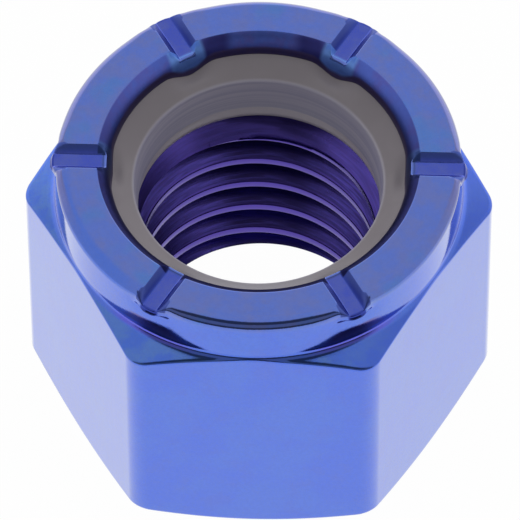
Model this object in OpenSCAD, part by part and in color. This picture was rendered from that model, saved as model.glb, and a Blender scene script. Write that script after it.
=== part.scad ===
// Hexagon lock nut with a nylon ring held under a crimped collar.
// Bearing face on z = 0, thread axis on z, two hexagon corners on the x axis.

/* [Hexagon] */
// Width across the flats
across_flats = 18; // [17:0.5:22]
// Radius of the six upright corners
corner_radius = 1.2; // [0.4:0.1:2]
// Height at which the shoulders meet the collar
hex_height = 12.5; // [9:0.1:13]
// Slope of the shoulders, from the collar down to the corners
shoulder_angle = 23; // [12:1:35]
// How far the rim of the bearing face lies inside the flats
bearing_inset = 0.45; // [0.1:0.05:1]
// Slope of the chamfer that lifts the lower corners
foot_angle = 26; // [15:1:40]

/* [Thread] */
// Nominal thread diameter
thread_d = 12; // [9:0.5:12.5]
// Thread pitch
pitch = 1.75; // [1:0.25:2]
// How much wider than the thread its countersinks are
countersink_over = 1; // [0.4:0.1:1.6]

/* [Collar] */
// Height over all
nut_height = 14.9; // [14.2:0.1:18]
// How far the collar wall lies inside the flats
collar_inset = 0.115; // [0.05:0.005:0.4]
// Radius of the hollow where the collar meets the shoulders
fillet_radius = 0.28; // [0.1:0.02:0.6]
// Radius of the collar's outer top edge
rim_radius = 0.3; // [0.1:0.05:0.5]
// Thickness of the collar wall beside the ring
collar_wall = 1.18; // [0.8:0.02:1.5]
// Thickness of the lip that is rolled in over the ring
lip_thickness = 0.94; // [0.7:0.02:1.2]
// How far the lip reaches in over the ring
lip_reach = 1.24; // [0.8:0.02:1.6]
// How far the lip's rounded end draws back from bottom to top
lip_round = 0.56; // [0.3:0.02:0.8]
// Angle at which the lip's end turns down from the rim
lip_break = 30; // [10:5:60]

/* [Nylon ring] */
// Height of the ring
ring_height = 3.16; // [2:0.02:4]
// How far the ring's bore lies inside the thread's outer diameter
ring_bite = 0.7; // [0.3:0.05:1]
// Gap between the ring and the collar wall
ring_gap = 0.05; // [0:0.01:0.1]
// How far the ring's top dips from the lip to the bore
ring_dip = 0.6; // [0.2:0.05:1]
// How much the bore widens to its upper edge
mouth_flare = 0.2; // [0.05:0.05:0.4]
// How much the bore widens to its lower edge
foot_flare = 0.12; // [0.05:0.01:0.3]
// Height of the wider foot of the bore
foot_height = 0.8; // [0.3:0.1:1.5]

/* [Crimps] */
// Number of crimps around the rim
crimp_count = 6; // [3:1:9]
// Width of a crimp where it meets the top of the rim
crimp_width = 1.24; // [0.8:0.02:1.8]
// How far a crimp presses the rim down
crimp_depth = 0.38; // [0.2:0.02:0.5]
// How far a crimp presses the lip in towards the thread
crimp_reach = 0.1; // [0.02:0.02:0.3]
// Angle at which each side of a crimp leans back
crimp_lean = 36; // [5:1:45]
// Radius of the bulge that a crimp leaves under the lip
bulge_radius = 1.6; // [1.2:0.1:2.4]
// Width of the flat along the bottom of that bulge
bulge_flat = 0.5; // [0.2:0.1:1]
// How far a crimp swells the collar outward
swell_out = 0.16; // [0.05:0.01:0.3]
// Radius of the swelling
swell_radius = 1; // [0.8:0.05:1.2]

/* [Hidden] */

flat_r = across_flats / 2;
// Angle at which a corner's arc meets the flats
corner_meet = 8;
corner_center = (flat_r - corner_radius) / cos(30);
corner_arc_r = corner_radius / cos(corner_meet);
corner_r = corner_center + corner_arc_r;
bearing_r = flat_r - bearing_inset;
bore_r = (thread_d - pitch) / 2;
countersink_r = (thread_d + countersink_over) / 2;
countersink_depth = countersink_r - bore_r;

collar_r = flat_r - collar_inset;
seat_r = collar_r - collar_wall;
lip_z = nut_height - lip_thickness;
lip_r = seat_r - lip_reach;
rim_in_r = lip_r + lip_round;
seat_z = lip_z - ring_height;

ring_bore_r = thread_d / 2 - ring_bite;
crimp_floor_z = nut_height - crimp_depth;

arc_steps = 6;
beyond = 3;
far = 40;
$fn = 72;

// Points of an arc in the r-z plane, from angle a0 to a1
function arc(center, radius, a0, a1, steps) = [
    for (i = [0:steps])
        let (a = a0 + (a1 - a0) * i / steps)
            center + radius * [cos(a), sin(a)]
];

// Hexagon with corners on the x axis
module hexagon(inner_r) {
    circle(inner_r / cos(30), $fn = 6);
}

// Hexagon with rounded corners, corners on the x axis
module hex_outline() {
    intersection() {
        hexagon(flat_r);
        union() {
            rotate(30) hexagon(corner_center + corner_radius * cos(30));
            for (k = [0:5])
                rotate(60 * k)
                    translate([corner_center, 0])
                        circle(corner_arc_r);
        }
    }
}

// Half section of the turned blank, with the collar already rolled in
module turned_section() {
    outer_r = corner_r + beyond;
    foot_rise = (outer_r - bearing_r) * tan(foot_angle);
    shoulder_drop = (outer_r - collar_r) * tan(shoulder_angle);
    fillet_z = hex_height + fillet_radius * (1 / cos(shoulder_angle) - tan(shoulder_angle));
    polygon(concat(
        [
            [countersink_r, 0],
            [bearing_r, 0],
            [outer_r, foot_rise],
            [outer_r, hex_height - shoulder_drop]
        ],
        arc([collar_r + fillet_radius, fillet_z], fillet_radius, 270 - shoulder_angle, 180, 4),
        arc([collar_r - rim_radius, nut_height - rim_radius], rim_radius, 0, 90, arc_steps),
        lip_end(),
        [
            [seat_r, lip_z],
            [seat_r, seat_z],
            [countersink_r, seat_z],
            [bore_r, seat_z - countersink_depth],
            [bore_r, countersink_depth]
        ]
    ));
}

// Oval end of the rolled lip, from the rim's top to the ring
function lip_end() = [
    for (i = [0:arc_steps])
        let (
            a = lip_break + (90 - lip_break) * i / arc_steps,
            in = (sin(a) - sin(lip_break)) / (1 - sin(lip_break)),
            up = cos(a) / cos(lip_break)
        )
            [rim_in_r - lip_round * in, lip_z + lip_thickness * up]
];

// One side of a crimp: all that lies within the leaning wall
module crimp_side() {
    translate([collar_r, crimp_width / 2, nut_height])
        rotate([-crimp_lean, 0, 0])
            translate([-far / 2, -far, -far / 2])
                cube(far);
}

// The rolled lip as it lies where the punch has pressed it in and down
module pressed_rim() {
    rotate_extrude()
        translate([-crimp_reach, -crimp_depth])
            polygon(concat(lip_end(), [[collar_r + beyond, lip_z], [collar_r + beyond, nut_height]]));
}

// Groove that the punch leaves in the rim, along the x axis
module crimp_groove() {
    intersection() {
        translate([lip_r - beyond / 2, -far / 2, crimp_floor_z])
            cube([collar_r, far, beyond]);
        crimp_side();
        mirror([0, 1, 0]) crimp_side();
    }
}

// Metal that the punch pushes down into the ring
module crimp_bulge() {
    start = lip_r / 2;
    end = seat_r + collar_wall / 2;
    rise = sqrt(pow(bulge_radius, 2) - pow(bulge_flat / 2, 2));
    intersection() {
        pressed_rim();
        translate([start, 0, lip_z - crimp_depth + rise])
            rotate([0, 90, 0])
                cylinder(r = bulge_radius, h = end - start);
    }
}

// Metal that the punch pushes out of the collar wall; the groove cuts off its top
module crimp_swell() {
    intersection() {
        translate([collar_r + swell_out - swell_radius, 0, crimp_floor_z - swell_radius / 4])
            sphere(swell_radius, $fn = $fn / 2);
        translate([0, -far / 2, 0])
            cube([far, far, nut_height - crimp_depth / 2]);
    }
}

module around_the_rim() {
    for (k = [0:crimp_count - 1])
        rotate(360 / crimp_count * k)
            children();
}

module nut_body() {
    color("royalblue")
        difference() {
            union() {
                intersection() {
                    linear_extrude(nut_height) hex_outline();
                    rotate_extrude() turned_section();
                }
                around_the_rim() crimp_bulge();
                around_the_rim() crimp_swell();
            }
            around_the_rim() crimp_groove();
        }
}

module nylon_ring() {
    outer_r = seat_r - ring_gap;
    color("dimgray")
        difference() {
            rotate_extrude()
                polygon([
                    [ring_bore_r + foot_flare, seat_z],
                    [outer_r, seat_z],
                    [outer_r, lip_z],
                    [lip_r, lip_z],
                    [ring_bore_r + mouth_flare, lip_z - ring_dip],
                    [ring_bore_r, seat_z + foot_height]
                ]);
            around_the_rim() crimp_bulge();
        }
}

nut_body();
nylon_ring();
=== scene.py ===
"""Blue anodised hexagon lock nut with a grey nylon ring, on a white floor in soft studio light."""

import math
from types import SimpleNamespace

import bpy
import numpy as np
from mathutils import Matrix, Vector


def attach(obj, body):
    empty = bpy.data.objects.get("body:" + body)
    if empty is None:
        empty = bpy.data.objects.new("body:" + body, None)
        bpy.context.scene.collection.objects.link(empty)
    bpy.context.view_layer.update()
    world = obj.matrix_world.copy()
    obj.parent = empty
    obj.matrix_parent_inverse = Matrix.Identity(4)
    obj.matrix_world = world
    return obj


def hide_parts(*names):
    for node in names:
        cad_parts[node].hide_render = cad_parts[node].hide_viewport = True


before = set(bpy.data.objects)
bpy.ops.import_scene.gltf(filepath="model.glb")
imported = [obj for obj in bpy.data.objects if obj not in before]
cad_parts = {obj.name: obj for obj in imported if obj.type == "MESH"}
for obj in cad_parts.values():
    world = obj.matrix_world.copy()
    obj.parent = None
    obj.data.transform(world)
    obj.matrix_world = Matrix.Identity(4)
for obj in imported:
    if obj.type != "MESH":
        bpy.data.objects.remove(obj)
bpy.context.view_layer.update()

MM = 0.001

# Hexagon bar, in millimetres
FLAT_R = 9.0
CORNER_RADIUS = 1.13
BEARING_R = 8.55
FOOT_SLOPE = math.tan(math.radians(26.2))
SHOULDER_LEAN = math.radians(22.9)
SHOULDER_SLOPE = math.tan(SHOULDER_LEAN)
SHOULDER_Z = 12.53
# Band beside an edge of the bar that has rows of its own
EDGE_BAND = 0.16

# Round collar and the lip rolled in over the ring
COLLAR_R = 8.9
COLLAR_TAPER = 0.03
COLLAR_FOOT_Z = 12.9
FILLET = 0.38
RIM_Z = 14.9
RIM_ROUND = 0.45
# The tighter rounding beside a crimp, and the distances from its middle between which it opens out again
RIM_TIGHT = 0.3
TIGHT_REACH = (0.6, 2.2)
RIM_OUT_R = COLLAR_R - (RIM_Z - RIM_ROUND - COLLAR_FOOT_Z) * COLLAR_TAPER
RIM_IN_R = 7.08
LIP_R = 6.465
LIP_Z = 13.96
LIP_BREAK = 30
SEAT_R = 7.705
SEAT_Z = 10.8

# Crimps across the rim
CRIMP_DEPTH = 0.38
CRIMP_FLOOR_Z = RIM_Z - CRIMP_DEPTH
CRIMP_REACH = 0.1
CRIMP_HALF = 0.64
CRIMP_WALL = 0.3
CRIMP_EDGE = 0.09
# How much rounder a crimp's edges get between these radii, where it widens like a spoon
SPOON = 0.35
SPOON_RADII = (8.25, 8.75)
# Half width over which the lip follows a crimp down
BULGE_HALF = 1.3
# How far the collar is drawn in beside a crimp, the heights where that starts and the distances where it ends
DRAWN_IN = 0.04
DRAWN_HEIGHTS = (13.3, 14.3)
DRAWN_REACH = (0.5, 1.5)
# How far a crimp pushes the collar out, over what half width, and the heights where that starts and eases
SWELL_OUT = 0.28
SWELL_HALF = 0.95
SWELL_RISE = (14.12, 14.3)
SWELL_FALL = (14.36, 14.5)
SWELL_LOSS = 0.25

# Thread
PITCH = 1.75
CREST_R = 5.15
ROOT_R = 6.05
CREST_HALF = 0.2
# The crest's height at the angle where the helix starts
CREST_Z = 7.745
HELIX_START = 90
# Turns counted from that crest, to past both ends of the bore
TURNS = range(-5, 3)
SINK_R = 6.5
# Depth in each countersink at which the thread's rows end
RUN_OUT = 0.3

# Nylon ring
RING_OUT_R = 7.655
RING_TOP_Z = LIP_Z - 0.005
RING_EDGE_R = 5.5
RING_EDGE_Z = 13.33
RING_BORE_R = 5.29
RING_FOOT_R = 5.41
RING_FOOT_Z = 11.6
# A little shallower than the crimps, so that no gap opens under the lip
DENT_DEPTH = CRIMP_DEPTH - 0.03

# Columns of the mesh: angles from a corner through half a sector, close together at a crimp's walls
SECTORS = 6
SECTOR_DEGREES = 360 / SECTORS
HALF_SECTOR = (0, 0.6, 1.2, 1.7, 2.1, 2.4, 2.65, 2.9, 3.15, 3.4, 3.7, 4, 4.3, 4.55, 4.75, 4.9, 5.05, 5.2,
               5.4, 5.9, 6.6, 7.5, 8.6, 9.9, 11.4, 13.1, 15, 17, 19, 21, 23, 25, 27, 28.7, 30)
# The column that runs along the middle of a crimp's wall, and the angles over which others cease to follow it
WALL_COLUMN = 4.0
SLIDE_ENDS = (6, 14)
# Angle over which a mesh edge stays sharp
CREASE = 50

# Colours of the film on the metal, and of light and shade painted onto it. A pair holds both ends of a soft
# pattern.
FLAT_BLUES = (0.06, 0.15, 0.745), (0.066, 0.165, 0.73)
FLAT_PATCH = (0.075, 0.15, 0.68)
RIM_BLUES = (0.09, 0.172, 0.65), (0.122, 0.175, 0.55)
RIM_TEAL = (0.07, 0.19, 0.61)
RIM_TURNED = (0.15, 0.18, 0.5)
RIM_LEFT = (0.055, 0.155, 0.69)
# Painted highlight along the rim's rounded outer edge
RIM_EDGE_HIGHLIGHT = (0.15, 0.155, 0.4)
SHOULDER_TEALS = (0.042, 0.135, 0.64), (0.065, 0.175, 0.58)
SHOULDER_RIGHT = (0.03, 0.09, 0.6)
CRIMP_FLOORS = (0.035, 0.07, 0.52), (0.055, 0.09, 0.49)
# Painted shade on the crimps' walls, darker at their tops and in the far and near crimps
CRIMP_WALL_FEET = (0.12, 0.17, 0.75), (0.05, 0.08, 0.44)
CRIMP_WALL_TOPS = (0.085, 0.13, 0.47), (0.072, 0.105, 0.39)
# Painted highlight where a crimp's floor ends over the ring
CRIMP_RIDGE_HIGHLIGHT = (0.1, 0.17, 0.6)
# Painted shade at the end of a crimp, and a painted shadow under it
SWELLING_SHADE_BLUE = (0.04, 0.06, 0.36)
SWELLING_SHADOW = (0.02, 0.03, 0.12)
# Painted reflection of the shoulders, low on the front of the collar
SHOULDER_REFLECTION_VIOLET = (0.07, 0.02, 0.24)
HOLLOW_VIOLET = (0.12, 0.07, 0.7)
# The lip's end: painted shade on the near side, its own blues on the far side, painted shadows beside the far
# crimps and painted light where the crimps press it
LIP_NEAR_SHADE = (0.02, 0.02, 0.1)
LIP_FAR = (0.1, 0.155, 0.58), (0.12, 0.135, 0.5)
LIP_SHADOW = (0.05, 0.05, 0.24)
LIP_BULGE_LIGHT = (0.18, 0.36, 0.9)
# Painted shadow along the lip's lowest line, over the ring
LIP_FOOT_SHADOW = (0.11, 0.085, 0.2)
THREAD_VIOLETS = (0.045, 0.03, 0.16), (0.094, 0.068, 0.38)
# Painted shade low at both sides of the bore
THREAD_SHADE = (0.03, 0.02, 0.13)
THREAD_TOP = (0.1, 0.065, 0.36)
THREAD_CREST = (0.09, 0.056, 0.34)
GRAIN_BLUE = (0.03, 0.07, 0.4)

# Greys of the ring, with painted light on the bore and its foot and a painted sheen on the near side
RING_GREYS = (0.262, 0.237, 0.258), (0.292, 0.266, 0.288)
LIT_BORE_GREYS = (0.42, 0.405, 0.52), (0.53, 0.505, 0.59)
LIT_FOOT_GREY = (0.62, 0.56, 0.59)
NEAR_SHEEN_GREY = (0.42, 0.41, 0.46)

# Studio floor, in metres, and the light of the tent round the nut
FLOOR_REACH = 0.065
FLOOR_LEVEL = -0.00002
FLOOR_GLOW = 0.985
TENT_LIGHT = 0.78
OPENING_LOSS = 0.68
OPENING_SPREAD = 1.4
BAND_GAIN = 0.24
BACK_GLOW = 0.5


def smooth(x, low, high):
    """Rises from 0 to 1 between low and high, with level ends."""
    t = np.clip((x - low) / (high - low), 0, 1)
    return t * t * (3 - 2 * t)


def sector_angles():
    """Column angles through one sixth of the nut, in degrees from its corner."""
    half = np.array(HALF_SECTOR, float)
    return np.concatenate([-half[:0:-1], half[:-1]])


ANGLES = sector_angles()


def lower_of(a, b, blend):
    """The lower of two heights, with the corner between them rounded off."""
    t = np.clip(0.5 + (b - a) / (2 * blend), 0, 1)
    return b + (a - b) * t - blend * t * (1 - t)


def higher_of(a, b, blend):
    """The higher of two heights, with the corner between them filled."""
    return -lower_of(-a, -b, blend)


def hexagon_radius(angle):
    """Distance from the axis to the rounded hexagon, angle in degrees from a corner."""
    a = np.radians(np.abs(angle))
    centre = (FLAT_R - CORNER_RADIUS) / math.cos(math.pi / 6)
    meet = math.atan2(CORNER_RADIUS / 2, centre + CORNER_RADIUS * math.cos(math.pi / 6))
    flat = FLAT_R / np.cos(math.pi / 6 - a)
    inside = np.maximum(CORNER_RADIUS**2 - (centre * np.sin(a)) ** 2, 0)
    return np.where(a < meet, centre * np.cos(a) + np.sqrt(inside), flat)


def shoulder_height(r):
    """Height of the shoulders and of the hollow that leads up to the collar."""
    centre_r = COLLAR_R + FILLET
    centre_z = SHOULDER_Z + FILLET * (1 / math.cos(SHOULDER_LEAN) - SHOULDER_SLOPE)
    cone = SHOULDER_Z - (r - COLLAR_R) * SHOULDER_SLOPE
    hollow = centre_z - np.sqrt(np.maximum(FILLET**2 - (r - centre_r) ** 2, 0))
    return np.where(r > centre_r - FILLET * math.sin(SHOULDER_LEAN), cone, hollow)


def punch_mark(across):
    """Height of the slot that the punch leaves in the rim, across from its middle."""
    wall = RIM_Z - (CRIMP_HALF - across) * CRIMP_DEPTH / CRIMP_WALL
    return higher_of(CRIMP_FLOOR_Z + 0 * across, wall, CRIMP_EDGE)


def slid_angles(r):
    """Column angles drawn together near a crimp, so that columns run along its walls at every radius."""
    target = np.degrees(np.arcsin((CRIMP_HALF - CRIMP_WALL / 2) / r))
    near = 1 - smooth(np.abs(ANGLES), *SLIDE_ENDS)
    return ANGLES * (1 + (target / WALL_COLUMN - 1) * near)


def from_crimp(angle, r):
    """Distance sideways from the middle of the crimp."""
    return np.abs(r * np.sin(np.radians(angle)))


def bulge(across):
    """How far the lip follows a crimp, across from its middle."""
    return 1 - smooth(across, 0, BULGE_HALF)


def swelling(z):
    """How far the collar follows a crimp's push outward at height z."""
    return smooth(z, *SWELL_RISE) - SWELL_LOSS * smooth(z, *SWELL_FALL)


def plain_row(r, z):
    """A row that the crimps leave alone."""
    return ANGLES, r + 0 * ANGLES, z + 0 * ANGLES


def rim_row(r, z, press=0.0, swell=0.0, draw=0.0):
    """A row of the rim at r and z. From 0 to 1, press says how far it follows the wide bulge under the lip,
    swell how far a crimp pushes it outward, and draw how far it is drawn in beside the crimp."""
    angle = slid_angles(r)
    across = from_crimp(angle, r)
    out = swell * SWELL_OUT * (1 - smooth(across, 0.1, SWELL_HALF))
    inward = draw * DRAWN_IN * (1 - smooth(across, *DRAWN_REACH))
    follow = bulge(across) * press
    edge = CRIMP_EDGE / 3 + SPOON * smooth(r, *SPOON_RADII)
    row_z = lower_of(z - CRIMP_DEPTH * follow, punch_mark(across), edge)
    return angle, r + out - inward - CRIMP_REACH * follow, row_z


def bearing_rows():
    """Rows from the lower countersink over the bearing face."""
    sink_edge = ((SINK_R - 0.04, 0.04), (SINK_R + 0.03, 0))
    face = ((7.4, 0), (BEARING_R - 0.05, 0), (BEARING_R, 0.006))
    return [plain_row(r, z) for r, z in sink_edge + face]


def flat_rows():
    """Rows over the chamfer at the foot and up the flats, closer together beside each edge."""
    bar = hexagon_radius(ANGLES)
    foot = (bar - BEARING_R) * FOOT_SLOPE
    top = shoulder_height(bar)
    rows = []
    for inset, share in ((0.5, 0.5), (0.06, 0.15)):
        r = bar - np.minimum(inset, (bar - BEARING_R) * share)
        rows.append((ANGLES, r, (r - BEARING_R) * FOOT_SLOPE))
    rows.append((ANGLES, bar - 0.015, foot + 0.012))
    heights = [foot + 0.06, foot + EDGE_BAND]
    heights += [foot + EDGE_BAND + (top - foot - 2 * EDGE_BAND) * share for share in (0.2, 0.4, 0.6, 0.8)]
    heights += [top - EDGE_BAND, top - 0.055]
    return rows + [(ANGLES, bar, z) for z in heights]


def shoulder_rows():
    """Rows over the flats' upper edge, in along the shoulders and up the hollow at the collar's foot."""
    bar = hexagon_radius(ANGLES)
    room = bar - COLLAR_R
    edge = np.minimum(0.06, 0.3 * room)
    outer = bar - np.minimum(EDGE_BAND, 0.5 * room)
    hollow_width = FILLET * (1 - math.sin(SHOULDER_LEAN))
    scale = np.minimum(1, 0.8 * (outer - COLLAR_R) / hollow_width)
    inner = COLLAR_R + hollow_width * scale
    radii = [bar - edge, outer]
    radii += [outer + (inner - outer) * share for share in (0.25, 0.5, 0.75)]
    for step in np.linspace(0, 1, 8):
        turn = math.radians(270) - SHOULDER_LEAN - step * (math.radians(90) - SHOULDER_LEAN)
        radii.append(COLLAR_R + FILLET * (1 + math.cos(turn)) * scale)
    rounded = (ANGLES, bar - 0.25 * edge, shoulder_height(bar) - 0.014)
    return [rounded] + [(ANGLES, r, shoulder_height(r)) for r in radii]


def collar_rows():
    """Rows up the collar, which tapers a little and swells below each crimp, and over its rounded edge."""
    rows = []
    plain_heights = (12.9, 13.1, 13.35, 13.6, 13.8, 13.92, 14.0, 14.05)
    swelling_heights = (14.1, 14.15, 14.2, 14.25, 14.31, 14.37, 14.42)
    for z in plain_heights + swelling_heights:
        r = COLLAR_R - (z - COLLAR_FOOT_Z) * COLLAR_TAPER
        rows.append(rim_row(r, z, swell=swelling(z), draw=smooth(z, *DRAWN_HEIGHTS)))
    beside = 1 - smooth(from_crimp(slid_angles(RIM_OUT_R), RIM_OUT_R), *TIGHT_REACH)
    rounding = RIM_ROUND + (RIM_TIGHT - RIM_ROUND) * beside
    for turn in np.radians(np.linspace(0, 90, 17)):
        r = RIM_OUT_R - rounding * (1 - math.cos(turn))
        z = RIM_Z - rounding * (1 - math.sin(turn))
        rows.append(rim_row(r, z, swell=swelling(z), draw=1.0))
    return rows


def rim_top_rows():
    """Rows in over the flat top of the rim."""
    outer = RIM_OUT_R - RIM_ROUND
    rows = []
    for share in (0.03, 0.08, 0.15, 0.28, 0.45, 0.62, 0.78, 0.88, 0.94, 0.98):
        swell = max(0.0, 1 - SWELL_LOSS - share / 0.4)
        draw = max(0.0, 1 - share / 0.3)
        rows.append(rim_row(outer + (RIM_IN_R - outer) * share, RIM_Z, swell=swell, draw=draw))
    return rows


def lip_end(share):
    """Radius and height on the lip's rounded end, from the rim at share 0 down to the ring at 1."""
    start = math.radians(LIP_BREAK)
    turn = math.radians(LIP_BREAK + (90 - LIP_BREAK) * share)
    r = RIM_IN_R - (RIM_IN_R - LIP_R) * (math.sin(turn) - math.sin(start)) / (1 - math.sin(start))
    return r, LIP_Z + (RIM_Z - LIP_Z) * math.cos(turn) / math.cos(start)


def lip_rows():
    """Rows down the lip's end, back along its underside, down the seat's wall and in to the countersink."""
    rows = []
    for share in np.linspace(0, 1, 25):
        r, z = lip_end(float(share))
        rows.append(rim_row(r, z, press=float(smooth(share, 0.4, 1.0))))
    under = LIP_Z + 0.01
    rows.append(rim_row(LIP_R + 0.02, under - 0.035, press=1.0))
    rows += [rim_row(r, under, press=1.0) for r in (LIP_R + 0.07, 7.1, SEAT_R - 0.04)]
    seat = ((SEAT_R, LIP_Z - 0.6), (SEAT_R, SEAT_Z + 0.05), (SEAT_R - 0.05, SEAT_Z))
    sink_edge = ((SINK_R + 0.04, SEAT_Z), (SINK_R - 0.03, SEAT_Z - 0.03))
    return rows + [plain_row(r, z) for r, z in seat + sink_edge]


def all_round(rows):
    """The rows of one sector repeated round the axis, as arrays of angle in radians, radius and height."""
    angle, r, z = (np.array([row[k] for row in rows]) for k in range(3))
    angle = np.concatenate([angle + SECTOR_DEGREES * k for k in range(SECTORS)], axis=1)
    return np.radians(angle), np.tile(r, SECTORS), np.tile(z, SECTORS)


def thread_section():
    """Heights and radii through one pitch of the thread, from root to root, crest in the middle."""
    flank_start = CREST_HALF + 0.03
    root_start = PITCH / 2 - 0.2
    slope = (ROOT_R - CREST_R) / (root_start - CREST_HALF)
    half = [(0, 0), (CREST_HALF - 0.045, 0.0), (CREST_HALF - 0.012, 0.008), (CREST_HALF + 0.008, 0.022)]
    half += [(flank_start, (flank_start - CREST_HALF) * slope + 0.002)]
    for share in (0.3, 0.6, 0.88):
        u = flank_start + (root_start - flank_start) * share
        half.append((u, (u - CREST_HALF) * slope))
    half += [(root_start, ROOT_R - CREST_R - 0.03), (root_start + 0.07, ROOT_R - CREST_R)]
    lower = [(-u, d) for u, d in half[:0:-1]]
    steps = np.array([(-PITCH / 2, ROOT_R - CREST_R)] + lower + half)
    return steps[:, 0], CREST_R + steps[:, 1]


def sink_radius(z):
    """Radius of the wider one of the two countersinks at height z."""
    return np.maximum(SINK_R - (SEAT_Z - z), SINK_R - z)


def thread_rows(angles):
    """Radii and heights of the thread's rows from the top down, and the number of rows in one pitch. Where a
    countersink cuts the thread, the nearest row is moved onto the cut."""
    step_u, step_r = thread_section()
    u = np.concatenate([k * PITCH + step_u for k in TURNS])
    order = np.argsort(-u)
    lead = PITCH * ((np.degrees(angles) - HELIX_START) % 360) / 360
    z = CREST_Z + u[order][:, None] + lead[None, :]
    r = np.repeat(np.tile(step_r, len(TURNS))[order][:, None], len(angles), 1)
    ahead = sink_radius(z) - r
    for j, i in zip(*np.nonzero((ahead[:-1] > 0) != (ahead[1:] > 0))):
        t = ahead[j, i] / (ahead[j, i] - ahead[j + 1, i])
        k = j if t < 0.5 else j + 1
        z[k, i] = z[j, i] + (z[j + 1, i] - z[j, i]) * t
        r[k, i] = sink_radius(z[k, i])
    return np.maximum(r, sink_radius(z)), z, len(step_u)


def grid_faces(index, seam_shift=0):
    """Faces between the rows and columns of a grid of vertex numbers that closes on itself sideways. The last
    column joins the first one seam_shift rows on."""
    after = np.roll(index, -1, axis=1)
    if seam_shift:
        last_row = len(index) - 1
        after[:, -1] = index[:, 0][np.clip(np.arange(last_row + 1) + seam_shift, 0, last_row)]
    quads = np.stack([index[:-1], after[:-1], after[1:], index[1:]], axis=-1).reshape(-1, 4)
    faces = []
    for quad in quads.tolist():
        corners = [v for k, v in enumerate(quad) if v != quad[k - 1]]
        if len(set(corners)) == len(corners) > 2:
            faces.append(corners)
    return faces


def points(angle, r, z):
    """Points of a grid in the part's frame, in millimetres."""
    return np.stack([r * np.cos(angle), r * np.sin(angle), z], axis=-1).reshape(-1, 3)


def used_points(co, faces):
    """The points that a face uses, and the faces with their numbers changed to match."""
    used = np.zeros(len(co), bool)
    used[np.concatenate([np.array(f) for f in faces])] = True
    renumber = np.cumsum(used) - 1
    return co[used], [[int(renumber[v]) for v in f] for f in faces]


def solid_object(name, co, faces):
    """A mesh object from points in millimetres, smooth but for its creases."""
    mesh = bpy.data.meshes.new(name)
    mesh.from_pydata((co * MM).tolist(), [], faces)
    mesh.validate()
    mesh.polygons.foreach_set("use_smooth", [True] * len(mesh.polygons))
    mesh.set_sharp_from_angle(angle=math.radians(CREASE))
    piece = bpy.data.objects.new(name, mesh)
    bpy.context.scene.collection.objects.link(piece)
    return piece


def make_body():
    """The metal body as one closed skin: hexagon, collar, crimped lip, seat and thread."""
    rows = bearing_rows() + flat_rows() + shoulder_rows() + collar_rows() + rim_top_rows() + lip_rows()
    angle, r, z = all_round(rows)
    skin = points(angle, r, z)
    skin_index = np.arange(len(skin)).reshape(angle.shape)
    count = angle.shape[1]

    round_angle = np.radians(np.concatenate([ANGLES + SECTOR_DEGREES * k for k in range(SECTORS)]))
    start = int(np.argmin((np.degrees(round_angle) - HELIX_START) % 360))
    columns = np.roll(np.arange(count), -start)
    thread_angle = round_angle[columns]
    thread_r, thread_z, pitch_rows = thread_rows(thread_angle)
    thread = points(np.repeat(thread_angle[None], len(thread_r), 0), thread_r, thread_z)
    end_r = SINK_R - RUN_OUT + 0 * thread_angle
    top_end = points(thread_angle, end_r, SEAT_Z - RUN_OUT + 0 * thread_angle)
    low_end = points(thread_angle, end_r, RUN_OUT + 0 * thread_angle)

    index = len(skin) + np.arange(len(thread)).reshape(thread_r.shape)
    top_index = len(skin) + len(thread) + np.arange(count)
    low_index = top_index + count
    index = np.where(thread_z <= RUN_OUT, low_index[None, :], index)
    index = np.where(thread_z >= SEAT_Z - RUN_OUT, top_index[None, :], index)
    faces = grid_faces(skin_index)
    faces += grid_faces(np.stack([skin_index[-1][columns], top_index]))
    faces += grid_faces(index, -pitch_rows)
    faces += grid_faces(np.stack([low_index, skin_index[0][columns]]))
    co, faces = used_points(np.concatenate([skin, thread, top_end, low_end]), faces)
    return solid_object("lock_nut_body", co, faces)


def dent_row(r, z):
    """A row of the ring's top, pressed down under each crimp."""
    angle = slid_angles(r)
    near = float(smooth(r, 5.75, LIP_R - CRIMP_REACH))
    follow = bulge(from_crimp(angle, r))
    return angle, r + 0 * ANGLES, z - DENT_DEPTH * near * follow


def ring_rows():
    """Rows up the ring's bore, out over its top, down its wall and back in along its underside."""
    rows = []
    for z in (SEAT_Z + 0.05, 11.1, 11.4, RING_FOOT_Z - 0.03):
        share = (z - SEAT_Z) / (RING_FOOT_Z - SEAT_Z)
        rows.append(plain_row(RING_FOOT_R + (RING_BORE_R + 0.03 - RING_FOOT_R) * share, z))
    rows.append(plain_row(RING_BORE_R, RING_FOOT_Z + 0.02))
    for share in (0.06, 0.25, 0.45, 0.65, 0.82, 0.94):
        bell = RING_BORE_R + (RING_EDGE_R - 0.05 - RING_BORE_R) * share**1.6
        rows.append(plain_row(bell, RING_FOOT_Z + 0.02 + (RING_EDGE_Z - RING_FOOT_Z - 0.05) * share))
    rows.append(plain_row(RING_EDGE_R - 0.045, RING_EDGE_Z - 0.03))
    rows.append(plain_row(RING_EDGE_R, RING_EDGE_Z + 0.004))
    slope = (RING_TOP_Z - RING_EDGE_Z) / (LIP_R - RING_EDGE_R)
    for r in (5.55, 5.7, 5.82, 5.94, 6.06, 6.16, 6.26, 6.34, 6.42, LIP_R):
        rows.append(dent_row(r, RING_EDGE_Z + (r - RING_EDGE_R) * slope))
    for r in (6.6, 6.8, 7.1, 7.4, RING_OUT_R - 0.05):
        rows.append(dent_row(r, RING_TOP_Z))
    rows += [plain_row(RING_OUT_R, RING_TOP_Z - 0.7), plain_row(RING_OUT_R, SEAT_Z + 0.06)]
    rows += [plain_row(RING_OUT_R - 0.05, SEAT_Z + 0.01), plain_row(RING_FOOT_R + 0.05, SEAT_Z + 0.01)]
    return rows


def make_ring():
    """The nylon ring as one closed skin."""
    angle, r, z = all_round(ring_rows())
    co = points(angle, r, z)
    index = np.arange(len(co)).reshape(angle.shape)
    index = np.concatenate([index, index[:1]])
    return solid_object("nylon_locking_ring", co, grid_faces(index[::-1]))


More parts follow.
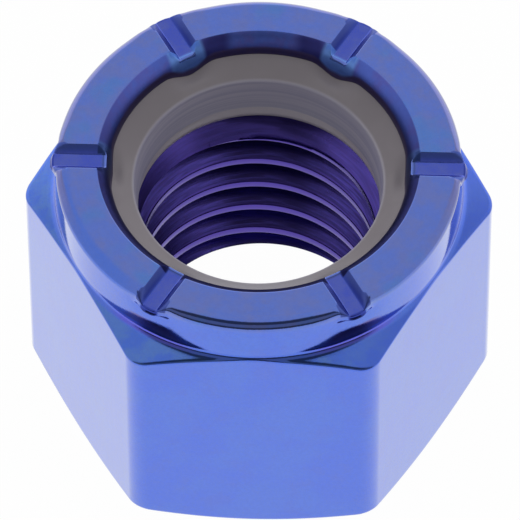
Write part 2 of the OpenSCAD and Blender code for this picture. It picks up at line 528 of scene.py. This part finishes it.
class Wire:
    """An output socket that can stand in a sum."""

    def __init__(self, graph, socket):
        self.graph, self.socket = graph, socket

    def math(self, operation, *others):
        inputs = dict(enumerate((self,) + others))
        return self.graph.make("ShaderNodeMath", {"operation": operation}, inputs)

    def __add__(self, other):
        return self.math("ADD", other)

    def __radd__(self, other):
        return self.math("ADD", other)

    def __sub__(self, other):
        return self.math("SUBTRACT", other)

    def __rsub__(self, other):
        return self.graph.make("ShaderNodeMath", {"operation": "SUBTRACT"}, {0: other, 1: self})

    def __mul__(self, other):
        return self.math("MULTIPLY", other)

    def __rmul__(self, other):
        return self.math("MULTIPLY", other)

    def __truediv__(self, other):
        return self.math("DIVIDE", other)

    def __rtruediv__(self, other):
        return self.graph.make("ShaderNodeMath", {"operation": "DIVIDE"}, {0: other, 1: self})

    def __pow__(self, other):
        return self.math("POWER", other)

    def __abs__(self):
        return self.math("ABSOLUTE")

    def step(self, low, high):
        """0 below low, 1 above high and smooth between."""
        inputs = {"Value": self, "From Min": low, "From Max": high}
        return self.graph.make("ShaderNodeMapRange", {"interpolation_type": "SMOOTHSTEP"}, inputs)

    def within(self, low, high, soft):
        """1 between low and high and 0 outside, with soft edges."""
        return self.step(low - soft, low + soft) * (1 - self.step(high - soft, high + soft))


class Graph:
    """Builds the nodes of one material or of the world."""

    def __init__(self, owner):
        owner.use_nodes = True
        self.tree = owner.node_tree
        self.tree.nodes.clear()

    def make(self, kind, settings=None, inputs=None, out=0):
        """Adds a node with its settings and its sockets' values or links, and returns one of its outputs."""
        node = self.tree.nodes.new(kind)
        for name, value in (settings or {}).items():
            setattr(node, name, value)
        for name, value in (inputs or {}).items():
            if isinstance(value, Wire):
                self.tree.links.new(value.socket, node.inputs[name])
            else:
                node.inputs[name].default_value = value
        return Wire(self, node.outputs[out]) if node.outputs else None

    def mix(self, factor, a, b):
        """Colour a turned into b by factor."""
        a, b = (value if isinstance(value, Wire) else (*value, 1) for value in (a, b))
        return self.make("ShaderNodeMix", {"data_type": "RGBA"}, {0: factor, 6: a, 7: b}, out=2)

    def noise(self, where, scale, detail, roughness):
        inputs = {"Vector": where, "Scale": scale, "Detail": detail, "Roughness": roughness}
        return self.make("ShaderNodeTexNoise", {}, inputs)

    def vector(self, x, y, z):
        return self.make("ShaderNodeCombineXYZ", {}, {0: x, 1: y, 2: z})

    def split(self, vector):
        """The three parts of a vector."""
        return [self.make("ShaderNodeSeparateXYZ", {}, {0: vector}, out=k) for k in range(3)]

    def place(self):
        """Millimetres along X, Y and Z in the part's frame, and the distance from the axis."""
        where = self.make("ShaderNodeVectorMath", {"operation": "MULTIPLY"},
                          {0: self.make("ShaderNodeTexCoord", out=3), 1: (1 / MM, 1 / MM, 1 / MM)})
        x, y, z = self.split(where)
        return SimpleNamespace(where=where, x=x, y=y, z=z, radius=(x * x + y * y) ** 0.5)

    def lathe_marks(self, at, over, along, roughness):
        """Noise drawn out round the axis. over is its fineness outward, and along its fineness round about."""
        way = self.vector(at.radius * over, at.x / at.radius * along, at.y / at.radius * along)
        return self.noise(way, 1.0, 3.0, roughness)

    def surface(self, kind, shader):
        """Puts the shader on the output node."""
        self.make(kind, {}, {"Surface": shader})


def metal_place(g):
    """The place on the metal with its noises, and how far it is sideways from the nearest crimp's middle, in
    millimetres as across and in degrees as off_corner."""
    at = g.place()
    at.turned = g.lathe_marks(at, 9, 2.5, 0.6)
    at.blotch = g.noise(at.where, 0.35, 3.0, 0.6)
    at.patch = g.noise(at.where, 0.9, 4.0, 0.65)
    at.grain = g.noise(at.where, 5.0, 3.0, 0.7)
    sector = math.radians(SECTOR_DEGREES)
    turn = at.y.math("ARCTAN2", at.x) / sector
    off = turn - turn.math("ROUND")
    at.across = abs(off * sector * at.radius)
    at.off_corner = abs(off) * SECTOR_DEGREES
    return at


def rim_areas(at):
    """Masks of the rim's areas, 1 inside and 0 outside."""
    z, radius, across = at.z, at.radius, at.across
    area = SimpleNamespace()
    area.rim = z.step(RIM_Z - 0.6, RIM_Z - 0.3)
    # The rounded outer edge, all but its front, where a lavender highlight is painted
    area.edge = radius.step(8.42, 8.62) * z.within(14.4, RIM_Z - 0.007, 0.005) * at.y.step(-5, -1)
    at_floor = z.within(CRIMP_FLOOR_Z - 0.12, CRIMP_FLOOR_Z + 0.08, 0.03)
    area.floor = (1 - across.step(0.3, 0.42)) * at_floor * radius.step(6.7, 6.9)
    beside_floor = across.within(CRIMP_HALF - CRIMP_WALL - 0.01, CRIMP_HALF + 0.1, 0.03)
    above_floor = z.within(CRIMP_FLOOR_Z + 0.006, RIM_Z - 0.01, 0.005)
    area.wall = beside_floor * above_floor * radius.step(6.75, 6.9)
    # The line where a crimp's floor ends over the ring, painted lighter as a highlight
    at_ridge = radius.within(6.6, 6.74, 0.03) * z.within(CRIMP_FLOOR_Z - 0.17, CRIMP_FLOOR_Z + 0.08, 0.03)
    area.ridge = (1 - across.step(0.36, 0.46)) * at_ridge
    # Where painted shade goes at the outer end of each crimp
    swollen = radius.step(COLLAR_R - 0.02, COLLAR_R + 0.02) * z.within(14.1, CRIMP_FLOOR_Z - 0.005, 0.005)
    area.swelling = (1 - across.step(0.38, 0.48)) * swollen
    inside = (1 - radius.step(RIM_IN_R - 0.07, RIM_IN_R)) * z.within(12.5, RIM_Z - 0.01, 0.005)
    area.lip = inside * (1 - area.ridge) * (1 - area.floor)
    # Painted shadow along the lip's lowest line, further in where a crimp presses it
    pressed = (1 - across.step(0.2, BULGE_HALF)) * 0.13
    area.lip_foot = (1 - (radius + pressed).step(6.52, 6.58)) * z.step(12, 13)
    return area


def lower_areas(g, at):
    """Masks of the areas below the rim, 1 inside and 0 outside."""
    z, radius, off_corner = at.z, at.radius, at.off_corner
    area = SimpleNamespace()
    upward = g.split(g.make("ShaderNodeTexCoord", out=1))[2]
    area.shoulder = radius.step(COLLAR_R + 0.1, COLLAR_R + 0.25) * z.step(10.5, 11.0) * upward.step(0.3, 0.7)
    # A painted reflection of the shoulders, dark violet low on the front of the collar and reaching higher at
    # the corners, and the hollow under it
    front = 1 - at.y.step(-6.5, -4.5)
    below_curve = 1 - (off_corner + z * 7 - 100).step(-2, 2)
    on_collar = radius.within(COLLAR_R - 0.1, COLLAR_R + 0.05, 0.03) * z.within(12.87, 13.45, 0.08)
    area.stain = below_curve * on_collar * front
    in_hollow = radius.within(COLLAR_R, COLLAR_R + 0.18, 0.02) * z.within(12.5, 12.85, 0.04)
    area.hollow = in_hollow * (1 - off_corner.step(8, 16)) * front
    area.bore = (1 - radius.step(SINK_R - 0.2, SINK_R)) * (1 - z.step(11, 12))
    return area


def flat_film(g, at):
    """Blue with soft patches, as on the flats and the collar."""
    film = g.mix(at.blotch.step(0.4, 0.6), *FLAT_BLUES)
    return g.mix(at.patch.step(0.5, 0.64) * 0.5, film, FLAT_PATCH)


def rim_film(g, at):
    """Patchy blue with lathe marks, plainer at the front left of the rim's outer side."""
    film = g.mix(at.patch.step(0.36, 0.66), *RIM_BLUES)
    film = g.mix(at.blotch.step(0.5, 0.66), film, RIM_TEAL)
    film = g.mix(at.turned.step(0.45, 0.75) * 0.3, film, RIM_TURNED)
    front_left = at.radius.step(8.2, 8.45) * (1 - at.x.step(-6, -4)) * (1 - at.y.step(-2, 0))
    return g.mix(front_left * 0.85, film, RIM_LEFT)


def shoulder_film(g, at):
    """Teal in soft patches, bluer to the right."""
    return g.mix(at.x.step(2, 7) * 0.7, g.mix(at.patch.step(0.4, 0.6), *SHOULDER_TEALS), SHOULDER_RIGHT)


def crimp_wall_shade(g, at):
    """Painted shade: light at the foot of a crimp's wall and darker at its top, and darker in the far and near
    crimps.
    """
    side = abs(at.y).step(1, 4)
    return g.mix(at.across.step(0.34, 0.54), g.mix(side, *CRIMP_WALL_FEET), g.mix(side, *CRIMP_WALL_TOPS))


def swelling_shade(g, at):
    """Painted shade at the end of a crimp: dark blue, with a painted shadow under it."""
    under = (1 - at.z.step(14.3, 14.38)) * (1 - at.across.step(0.26, 0.38))
    return g.mix(under, SWELLING_SHADE_BLUE, SWELLING_SHADOW)


def lip_film_and_shade(g, at):
    """Painted shade on the near side of the lip's end. Blue on the far side, with painted shadows in stretches
    beside the crimps and painted light where the crimps press the lip.
    """
    far = g.mix(at.patch.step(0.4, 0.6), *LIP_FAR)
    far = g.mix(abs(at.x).within(1.5, 2.7, 0.3), far, LIP_SHADOW)
    far = g.mix(1 - at.across.step(0.7, 0.95), far, LIP_BULGE_LIGHT)
    return g.mix(at.y.step(-1.5, 5.5), LIP_NEAR_SHADE, far)


def thread_film_and_shade(g, at):
    """Streaky violet, with painted shade low at both sides, lighter at the top and along the crests."""
    film = g.mix(g.lathe_marks(at, 14, 3, 0.65).step(0.36, 0.68), *THREAD_VIOLETS)
    film = g.mix(abs(at.x).step(2.5, 4.5) * (1 - at.z.step(4, 8)) * 0.45, film, THREAD_SHADE)
    film = g.mix(at.z.step(8.3, 9.3) * 0.5, film, THREAD_TOP)
    return g.mix(1 - at.radius.step(5.2, 5.26), film, THREAD_CREST)


def anodised_metal():
    """Turned titanium under a blue film that leans to violet in the bore and to teal on the shoulders. Light
    and shade are painted onto the film in places.
    """
    material = bpy.data.materials.new("anodised_metal")
    g = Graph(material)
    at = metal_place(g)
    top = rim_areas(at)
    low = lower_areas(g, at)
    film = flat_film(g, at)
    # Layers over the film's own colours; several of them are painted light and shade
    layers = (
        (top.rim, rim_film(g, at)),
        (top.edge * 0.85, RIM_EDGE_HIGHLIGHT),
        (low.shoulder, shoulder_film(g, at)),
        (top.floor, g.mix(at.patch.step(0.4, 0.6), *CRIMP_FLOORS)),
        (top.wall, crimp_wall_shade(g, at)),
        (top.ridge * 0.6, CRIMP_RIDGE_HIGHLIGHT),
        (top.swelling, swelling_shade(g, at)),
        (low.stain * 0.85, SHOULDER_REFLECTION_VIOLET),
        (low.hollow * 0.6, HOLLOW_VIOLET),
        (top.lip, lip_film_and_shade(g, at)),
        (top.lip_foot, LIP_FOOT_SHADOW),
        (low.bore, thread_film_and_shade(g, at)),
        (at.grain.step(0.3, 0.7) * 0.12, GRAIN_BLUE),
    )
    for share, colour in layers:
        film = g.mix(share, film, colour)

    relief = at.grain * 0.5 + at.turned * 0.5
    skin = g.make("ShaderNodeBsdfPrincipled", {}, {
        "Base Color": film,
        "Metallic": 1.0,
        "Roughness": 0.07 + at.patch * 0.08 + (top.wall + top.lip) * 0.3 + low.bore * 0.15,
        "Coat Weight": (1 - low.bore) * (1 - top.lip) * (1 - top.wall) * (1 - top.swelling),
        "Coat IOR": 1.5,
        "Coat Roughness": 0.08,
        "Normal": g.make("ShaderNodeBump", {}, {"Height": relief, "Strength": 0.06, "Distance": 0.0001}),
    })
    g.surface("ShaderNodeOutputMaterial", skin)
    return material


def grey_nylon():
    """Grey nylon, dull on top and smoother in the bore, with fine turning lines. The bore and its foot are
    painted lighter as painted light, and the near side gets a painted sheen.
    """
    material = bpy.data.materials.new("grey_nylon")
    g = Graph(material)
    at = g.place()
    cloud = g.noise(at.where, 0.3, 3.0, 0.6)
    lines = g.noise(g.vector(at.z * 5, at.x * 0.05, at.y * 0.05), 1.0, 3.0, 0.6)
    bore = 1 - at.radius.step(5.4, 5.6)
    foot = bore * (1 - at.z.step(11.5, 11.7))
    grey = g.mix(cloud.step(0.3, 0.7), *RING_GREYS)
    grey = g.mix(bore, grey, g.mix(lines.step(0.4, 0.65), *LIT_BORE_GREYS))
    grey = g.mix(foot, grey, LIT_FOOT_GREY)
    grey = g.mix((1 - at.y.step(-7, -4)) * 0.9, grey, NEAR_SHEEN_GREY)
    skin = g.make("ShaderNodeBsdfPrincipled", {}, {
        "Base Color": grey,
        "Roughness": 0.42 + (1 - bore) * 0.4,
        "Normal": g.make("ShaderNodeBump", {}, {"Height": lines, "Strength": 0.1, "Distance": 0.00005}),
    })
    g.surface("ShaderNodeOutputMaterial", skin)
    return material


def floor_white():
    """White that glows to the camera, in mirrors and through clear surfaces, and is plain otherwise."""
    material = bpy.data.materials.new("floor_white")
    g = Graph(material)
    seen, mirrored, let_through = (g.make("ShaderNodeLightPath", out=k) for k in (0, 3, 6))
    glow = seen.math("MAXIMUM", mirrored).math("MAXIMUM", let_through) * FLOOR_GLOW
    plain = g.make("ShaderNodeBsdfDiffuse", {}, {"Color": (0.85, 0.85, 0.85, 1)})
    bright = g.make("ShaderNodeEmission", {}, {"Color": (1, 1, 1, 1), "Strength": 1.0})
    g.surface("ShaderNodeOutputMaterial", g.make("ShaderNodeMixShader", {}, {0: glow, 1: plain, 2: bright}))
    return material


def white_floor():
    """A floor that looks white to the camera and in the metal, and still takes a faint shadow."""
    signs = ((-1, -1), (1, -1), (1, 1), (-1, 1))
    corners = [(x * FLOOR_REACH, y * FLOOR_REACH, FLOOR_LEVEL) for x, y in signs]
    mesh = bpy.data.meshes.new("studio_floor")
    mesh.from_pydata(corners, [], [(0, 1, 2, 3)])
    mesh.materials.append(floor_white())
    floor = bpy.data.objects.new("studio_floor", mesh)
    bpy.context.scene.collection.objects.link(floor)


def studio_light():
    """Soft light from all round and above. The open front of the light tent is dark, with a pale band across
    it, and the low back glows. The camera sees plain white."""
    world = bpy.data.worlds.new("studio")
    bpy.context.scene.world = world
    g = Graph(world)
    x, y, z = g.split(g.make("ShaderNodeTexCoord", out=0))
    beside_opening = (abs(x) + y * OPENING_SPREAD).step(-0.14, 0.14)
    opening = (1 - beside_opening) * (1 - z.step(0.93, 0.985))
    band = z.within(0.14, 0.66, 0.04)
    low_back = y.step(0.2, 0.8) * (1 - z.step(0.4, 0.65))
    level = TENT_LIGHT - opening * (OPENING_LOSS - band * BAND_GAIN) + low_back * BACK_GLOW
    seen = g.make("ShaderNodeLightPath", out=0)
    level = level * (1 - seen) + seen
    g.surface("ShaderNodeOutputWorld",
              g.make("ShaderNodeBackground", {}, {"Color": (1, 1, 1, 1), "Strength": level}))


def camera():
    """A long lens from in front and above."""
    rise, turn, roll = math.radians(54.54), math.radians(2.02), math.radians(-0.29)
    distance, aside, above = 380.07, 0.037, 0.112
    aim = Vector((0, 0, 7.2))
    sensor_width = 36
    picture_width, focal_pixels = 520, 8594.42

    back = Vector((math.sin(turn) * math.cos(rise), -math.cos(turn) * math.cos(rise), math.sin(rise)))
    right = (-back).cross(Vector((0, 0, 1))).normalized()
    up = right.cross(-back)
    side = right * math.cos(roll) + up * math.sin(roll)
    head = up * math.cos(roll) - right * math.sin(roll)
    place = back * distance + side * aside + head * above + aim
    data = bpy.data.cameras.new("camera")
    data.sensor_width = sensor_width
    data.lens = focal_pixels / picture_width * sensor_width
    data.clip_start, data.clip_end = 0.01, 10
    eye = bpy.data.objects.new("camera", data)
    bpy.context.scene.collection.objects.link(eye)
    turned = Matrix((side, head, back)).transposed().to_4x4()
    eye.matrix_world = Matrix.Translation(place * MM) @ turned
    bpy.context.scene.camera = eye


def dress(piece, material, node):
    """Gives a piece its material and lets it stand for a node of the CAD model."""
    piece.data.materials.append(material)
    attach(piece, "root")
    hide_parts(node)


bpy.context.scene.view_settings.view_transform = "Standard"
dress(make_body(), anodised_metal(), "nut_body")
dress(make_ring(), grey_nylon(), "nylon_ring")
white_floor()
studio_light()
camera()
